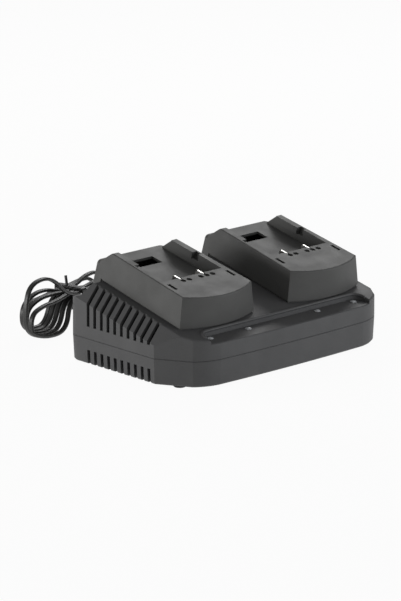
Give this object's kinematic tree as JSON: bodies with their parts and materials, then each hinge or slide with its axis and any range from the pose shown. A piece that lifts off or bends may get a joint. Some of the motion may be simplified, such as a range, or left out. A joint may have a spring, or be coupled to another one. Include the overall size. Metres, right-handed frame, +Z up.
{
  "type": "power tool battery charger",
  "caption": "Twin-bay charger for slide-on power tool batteries: sloping vented casing with raised docks, status lamps, a cooling fan and a tied mains cord.",
  "frame": {"origin": "on the table under the middle of the casing, the free cord left out", "axes": "+X along the long front to the right as seen from the front, +Y to the back, +Z up"},
  "size_m": [0.2624, 0.296, 0.0995],
  "materials": {
    "casing_plastic": "fine spark-eroded texture, low sheen",
    "dock_plastic": "fine spark-eroded texture, low sheen",
    "terminal_plastic": "smooth",
    "contact_metal": "bright nickel plate",
    "screw_steel": "zinc plated",
    "foot_rubber": "matt",
    "relief_rubber": "matt",
    "lamp_lens": "clear, domed",
    "circuit_board": "lacquered glass laminate",
    "ferrite": "ground ferrite",
    "winding_tape": "polyester tape",
    "capacitor_sleeve": "shrink sleeve",
    "sink_aluminium": "extruded",
    "chip_epoxy": "moulded epoxy",
    "choke_copper": "enamelled copper wire",
    "fuse_glass": "clear tube",
    "terminal_green": "smooth",
    "connector_white": "natural nylon",
    "fan_plastic": "glass-filled",
    "cord_sheath": "flexible PVC, glossy",
    "lead_insulation": "flexible PVC",
    "tie_plastic": "coated tie",
    "plug_plastic": "moulded PVC",
    "pin_brass": "bright"
  },
  "bodies": {
    "casing": {"board_screws": "screw_steel", "bottom_shell": "casing_plastic", "case_screws": "screw_steel", "clamp_screws": "screw_steel", "contact_blades_left": "contact_metal", "contact_blades_right": "contact_metal", "control_chip": "chip_epoxy", "cord_clamp": "terminal_plastic", "cord_hank": "cord_sheath", "cord_lead": "cord_sheath", "cord_tail": "cord_sheath", "cord_tie": "tie_plastic", "dock_leads_left": "lead_insulation", "dock_leads_right": "lead_insulation", "dock_left": "dock_plastic", "dock_right": "dock_plastic", "dock_screws_left": "screw_steel", "dock_screws_right": "screw_steel", "fan_frame": "fan_plastic", "filter_choke": "choke_copper", "foot_front_left": "foot_rubber", "foot_front_right": "foot_rubber", "foot_rear_left": "foot_rubber", "foot_rear_right": "foot_rubber", "fuse": "fuse_glass", "lamp_1": "lamp_lens", "lamp_2": "lamp_lens", "lamp_3": "lamp_lens", "lamp_4": "lamp_lens", "lamp_board": "circuit_board", "main_board": "circuit_board", "mains_capacitor": "capacitor_sleeve", "mains_lead": "cord_sheath", "mains_terminal": "terminal_green", "output_capacitors": "capacitor_sleeve", "output_connectors": "connector_white", "plug_body": "plug_plastic", "plug_pins": "pin_brass", "power_transistors": "chip_epoxy", "rectifier_heat_sink": "sink_aluminium", "strain_relief": "relief_rubber", "switch_heat_sink": "sink_aluminium", "terminal_block_left": "terminal_plastic", "terminal_block_right": "terminal_plastic", "top_shell": "casing_plastic", "transformer_core": "ferrite", "transformer_winding": "winding_tape"},
    "rotor": {"fan_rotor": "fan_plastic"}
  },
  "joints": [
    {"name": "fan_spin", "type": "hinge", "parent": "casing", "child": "rotor", "pos_m": [0.1115, 0.006, 0.0291], "axis": [1, 0, 0], "continuous": true}
  ]
}
